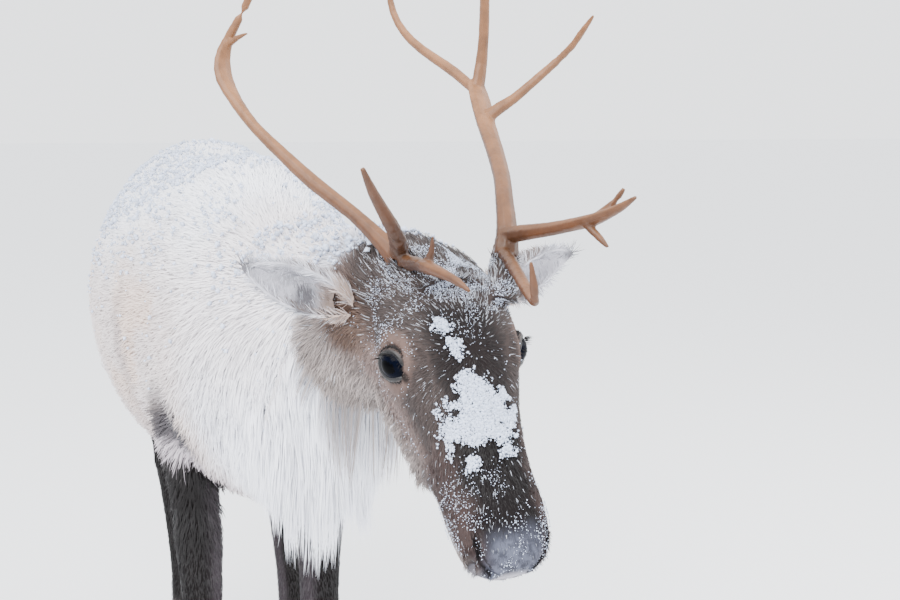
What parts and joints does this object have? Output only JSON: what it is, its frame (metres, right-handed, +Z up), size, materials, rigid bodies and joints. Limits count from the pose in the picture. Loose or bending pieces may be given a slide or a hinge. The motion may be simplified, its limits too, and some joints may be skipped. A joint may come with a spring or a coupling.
{
  "type": "reindeer figure",
  "caption": "Life-size still model of a reindeer in its winter coat, standing on its hooves with its head held low, with branching antlers and a hanging throat mane.",
  "frame": {"origin": "on the floor, under the middle of the bounding box", "axes": "+Z up, the nose towards -Y, the animal's left side towards +X"},
  "size_m": [0.5254, 1.6494, 1.3033],
  "materials": {
    "coat": "thick pale winter hair",
    "mane": "long white hair",
    "face": "short brown hair",
    "leg": "short dark brown hair",
    "ear": "short grey hair",
    "eye": "polished and dark",
    "antler": "smooth bone, faintly grained",
    "claw": "dull horn"
  },
  "bodies": {
    "root": {"head": "face", "left_eye": "eye", "right_eye": "eye", "left_ear": "ear", "right_ear": "ear", "right_antler_beam_lower": "antler", "right_antler_beam_middle": "antler", "right_antler_palm": "antler", "right_antler_beam_top": "antler", "right_antler_spur": "antler", "right_antler_brow_tine": "antler", "right_antler_bez_tine": "antler", "left_antler_beam_lower": "antler", "left_antler_beam_upper": "antler", "left_antler_bez_tine": "antler", "left_antler_brow_tine": "antler", "left_antler_top": "antler", "left_antler_back_tine": "antler", "left_antler_outer_tine": "antler", "rump": "coat", "barrel": "coat", "chest": "coat", "neck": "mane", "tail": "mane", "left_front_upper_arm": "coat", "left_front_forearm": "leg", "left_front_cannon": "leg", "left_front_pastern": "leg", "left_front_inner_claw": "claw", "left_front_outer_claw": "claw", "left_front_inner_dewclaw": "claw", "left_front_outer_dewclaw": "claw", "right_front_upper_arm": "coat", "right_front_forearm": "leg", "right_front_cannon": "leg", "right_front_pastern": "leg", "right_front_inner_claw": "claw", "right_front_outer_claw": "claw", "right_front_inner_dewclaw": "claw", "right_front_outer_dewclaw": "claw", "left_hind_thigh": "coat", "left_hind_shank": "leg", "left_hind_cannon": "leg", "left_hind_pastern": "leg", "left_hind_inner_claw": "claw", "left_hind_outer_claw": "claw", "left_hind_inner_dewclaw": "claw", "left_hind_outer_dewclaw": "claw", "right_hind_thigh": "coat", "right_hind_shank": "leg", "right_hind_cannon": "leg", "right_hind_pastern": "leg", "right_hind_inner_claw": "claw", "right_hind_outer_claw": "claw", "right_hind_inner_dewclaw": "claw", "right_hind_outer_dewclaw": "claw"}
  },
  "joints": []
}
